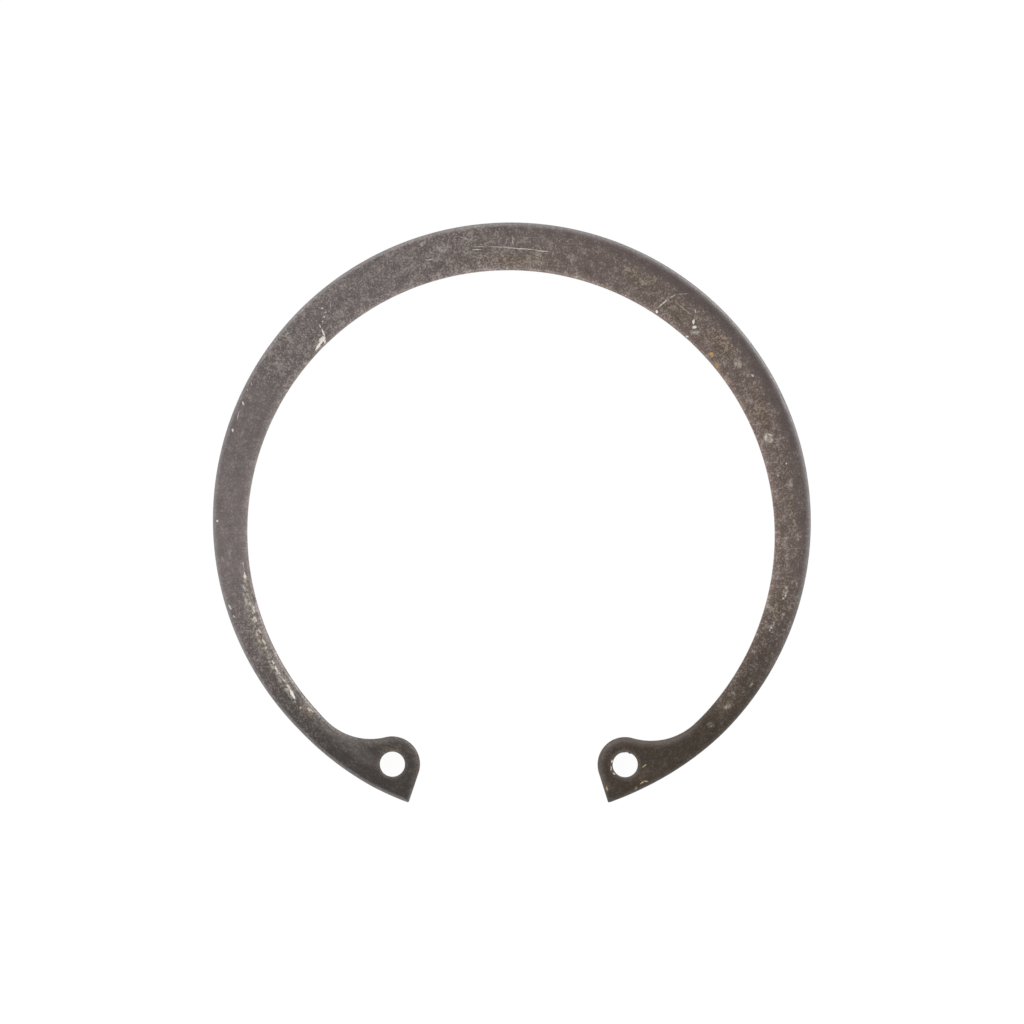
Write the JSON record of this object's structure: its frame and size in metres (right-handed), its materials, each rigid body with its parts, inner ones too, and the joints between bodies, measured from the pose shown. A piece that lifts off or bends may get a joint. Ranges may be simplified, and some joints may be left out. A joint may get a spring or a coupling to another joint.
{
  "type": "circlip retaining ring",
  "caption": "Flat, open spring-steel ring for a groove in a bore: widest at its back, tapering to inward lugs with round plier holes either side of the gap.",
  "frame": {"origin": "centre of the round outer rim, on the lower face", "axes": "+Z along the ring's axis, out of the upper face; +Y from the gap towards the widest part of the band; +X across the gap"},
  "size_m": [0.0904, 0.0878, 0.003],
  "materials": {
    "spring_steel": "punched spring steel with a worn dark phosphate coat, a few light scratches and specks of rust"
  },
  "bodies": {
    "root": {"circlip": "spring_steel"}
  },
  "joints": []
}
